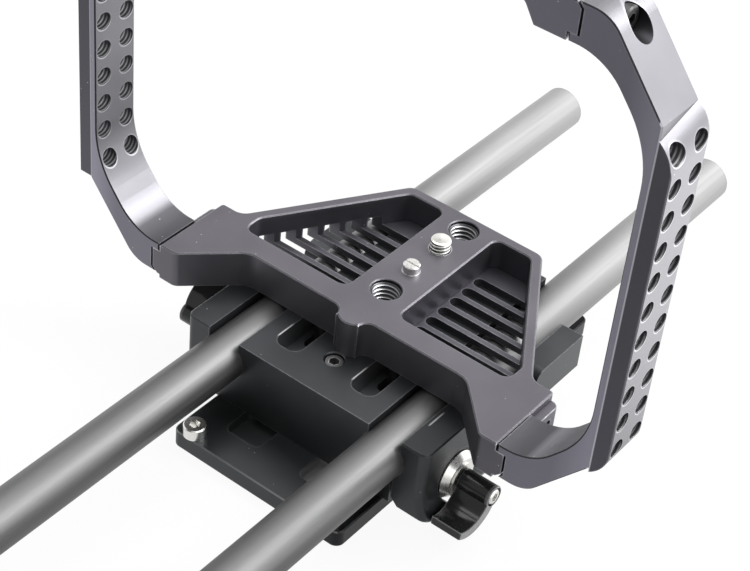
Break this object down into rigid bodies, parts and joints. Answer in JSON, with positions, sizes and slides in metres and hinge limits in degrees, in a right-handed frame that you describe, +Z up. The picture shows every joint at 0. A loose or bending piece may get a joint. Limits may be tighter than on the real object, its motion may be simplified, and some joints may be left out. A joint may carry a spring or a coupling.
{
  "type": "camera cage",
  "caption": "Open camera cage: ribbed plate with a camera screw, two perforated side arms and a top bar, on a base block that clamps two support rods with wing levers",
  "frame": {"origin": "the camera screw's axis on the camera plate's top face", "axes": "+X to the right seen from the open front, +Y back along the support rods, +Z up out of the camera plate"},
  "size_m": [0.191, 0.3, 0.1846],
  "materials": {
    "black_anodised": "black satin anodised",
    "bright_steel": "bright turned steel",
    "gloss_black": "gloss black",
    "rod_alloy": "satin titanium grey",
    "black_screws": "blackened steel"
  },
  "bodies": {
    "base": {"camera_plate": "black_anodised", "camera_screw_clip": "bright_steel", "locating_pin": "bright_steel", "plate_fixing_screws": "black_screws", "base_block": "black_anodised", "pad_set_screw": "bright_steel", "tripod_plate": "black_anodised", "tripod_plate_screws": "black_screws", "stop_screws": "bright_steel", "right_arm": "black_anodised", "left_arm": "black_anodised", "lower_arm_screws": "black_screws", "upper_arm_screws": "black_screws", "crossbar": "black_anodised"},
    "screw": {"camera_screw": "bright_steel"},
    "left_rod": {"left_rod": "rod_alloy"},
    "right_rod": {"right_rod": "rod_alloy"},
    "right_jaw": {"right_clamp_jaw": "black_anodised", "right_clamp_washer": "bright_steel"},
    "left_jaw": {"left_clamp_jaw": "black_anodised", "left_clamp_washer": "bright_steel"},
    "right_lever": {"right_clamp_lever": "gloss_black", "right_clamp_screw": "bright_steel"},
    "left_lever": {"left_clamp_lever": "gloss_black", "left_clamp_screw": "bright_steel"}
  },
  "joints": [
    {"name": "camera_screw_turn", "type": "hinge", "parent": "base", "child": "screw", "pos_m": [0, 0, 0], "axis": [0, 0, 1], "continuous": true},
    {"name": "left_rod_slide", "type": "slide", "parent": "base", "child": "left_rod", "axis": [0, 1, 0], "range_m": [-0.09, 0.11]},
    {"name": "right_rod_slide", "type": "slide", "parent": "base", "child": "right_rod", "axis": [0, 1, 0], "range_m": [-0.09, 0.11]},
    {"name": "right_jaw_slide", "type": "slide", "parent": "base", "child": "right_jaw", "axis": [1, 0, 0], "range_m": [0, 0.0005]},
    {"name": "left_jaw_slide", "type": "slide", "parent": "base", "child": "left_jaw", "axis": [-1, 0, 0], "range_m": [0, 0.0005]},
    {"name": "right_lever_turn", "type": "hinge", "parent": "right_jaw", "child": "right_lever", "pos_m": [0.05, -0.0482, -0.0301], "axis": [1, 0, 0], "range_deg": [0, 360]},
    {"name": "left_lever_turn", "type": "hinge", "parent": "left_jaw", "child": "left_lever", "pos_m": [-0.05, -0.0482, -0.0301], "axis": [-1, 0, 0], "range_deg": [0, 360]}
  ],
  "couplings": [
    {"joint": "right_lever_turn", "follows": "right_jaw_slide", "rad_per_m": 12566},
    {"joint": "left_lever_turn", "follows": "left_jaw_slide", "rad_per_m": 12566}
  ]
}
